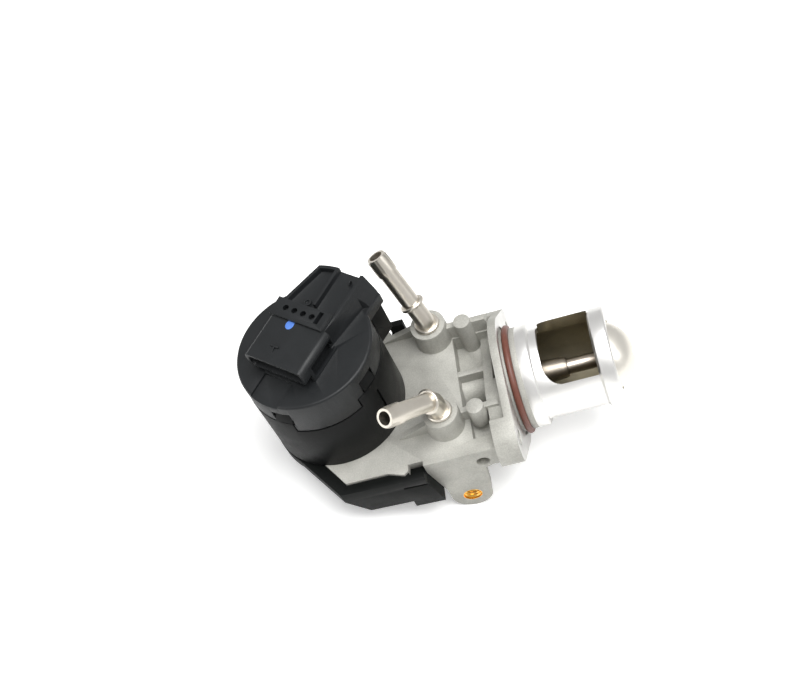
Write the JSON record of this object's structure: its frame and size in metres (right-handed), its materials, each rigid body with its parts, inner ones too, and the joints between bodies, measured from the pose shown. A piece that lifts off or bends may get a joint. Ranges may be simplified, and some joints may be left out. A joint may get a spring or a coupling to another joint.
{
  "type": "exhaust gas recirculation valve",
  "caption": "Electric exhaust gas recirculation valve: motor and gears drive a poppet in a windowed sleeve on a water-cooled flanged housing.",
  "frame": {"origin": "centre of the flange's mating face, on the axis of the valve", "axes": "+X out of the flange along the valve to its domed head, +Z along the motor's axis towards the plug socket, -Y towards the bracket lug"},
  "size_m": [0.1601, 0.0912, 0.1054],
  "materials": {
    "cast_aluminium": "as cast, fine grained",
    "sleeve_steel": "turned, bright",
    "seal_rubber": "red-brown, satin",
    "insert_brass": "yellow passivated",
    "bush_metal": "sintered",
    "black_rubber": "matt",
    "stem_steel": "ground",
    "inner_steel": "plain",
    "gear_plastic": "natural nylon",
    "magnet": "ferrite, plain",
    "copper": "tinned copper alloy",
    "black_nylon": "moulded, satin",
    "pipe_steel": "drawn, satin"
  },
  "bodies": {
    "base": {"valve_housing": "cast_aluminium", "seat_sleeve": "sleeve_steel", "flange_seal": "seal_rubber", "thread_insert": "insert_brass", "stem_bush": "bush_metal", "lip_seal": "black_rubber", "output_pin": "inner_steel", "return_spring": "inner_steel", "reduction_pin": "inner_steel", "motor_can": "inner_steel", "field_magnets": "magnet", "lower_bearing": "inner_steel", "upper_bearing": "inner_steel", "brush_plate": "gear_plastic", "brushes": "magnet", "motor_shell": "black_nylon", "motor_cap": "black_nylon", "terminal_pins": "copper", "signal_leads": "copper", "gear_cover": "black_nylon", "cover_seal": "black_rubber", "position_sensor": "black_nylon", "back_pipe": "pipe_steel", "front_pipe": "pipe_steel"},
    "valve": {"valve_stem": "stem_steel", "valve_head": "stem_steel", "crosshead": "inner_steel", "roller_pin": "inner_steel", "cam_roller": "inner_steel"},
    "output": {"output_gear": "gear_plastic", "sensor_magnet": "magnet"},
    "reduction": {"reduction_gear": "gear_plastic"},
    "rotor": {"drive_pinion": "insert_brass", "motor_shaft": "inner_steel", "rotor_core": "magnet", "commutator": "copper"}
  },
  "joints": [
    {"name": "rotor_spin", "type": "hinge", "parent": "base", "child": "rotor", "pos_m": [-0.0757, 0, 0.032], "axis": [0, 0, 1], "range_deg": [0, 914.3]},
    {"name": "reduction_turn", "type": "hinge", "parent": "base", "child": "reduction", "pos_m": [-0.07489, -0.01548, 0.008], "axis": [0, 0, 1], "range_deg": [-266.77, 0]},
    {"name": "output_turn", "type": "hinge", "parent": "base", "child": "output", "pos_m": [-0.061, 0, 0.006], "axis": [0, 0, 1], "range_deg": [0, 80]},
    {"name": "valve_slide", "type": "slide", "parent": "base", "child": "valve", "axis": [1, 0, 0], "range_m": [0, 0.0065], "stiffness_N_per_m": 1500, "springref_m": -0.02}
  ],
  "couplings": [
    {"joint": "output_turn", "follows": "valve_slide", "rad_per_m": 214.81},
    {"joint": "reduction_turn", "follows": "valve_slide", "rad_per_m": -716.03},
    {"joint": "rotor_spin", "follows": "valve_slide", "rad_per_m": 2455}
  ]
}
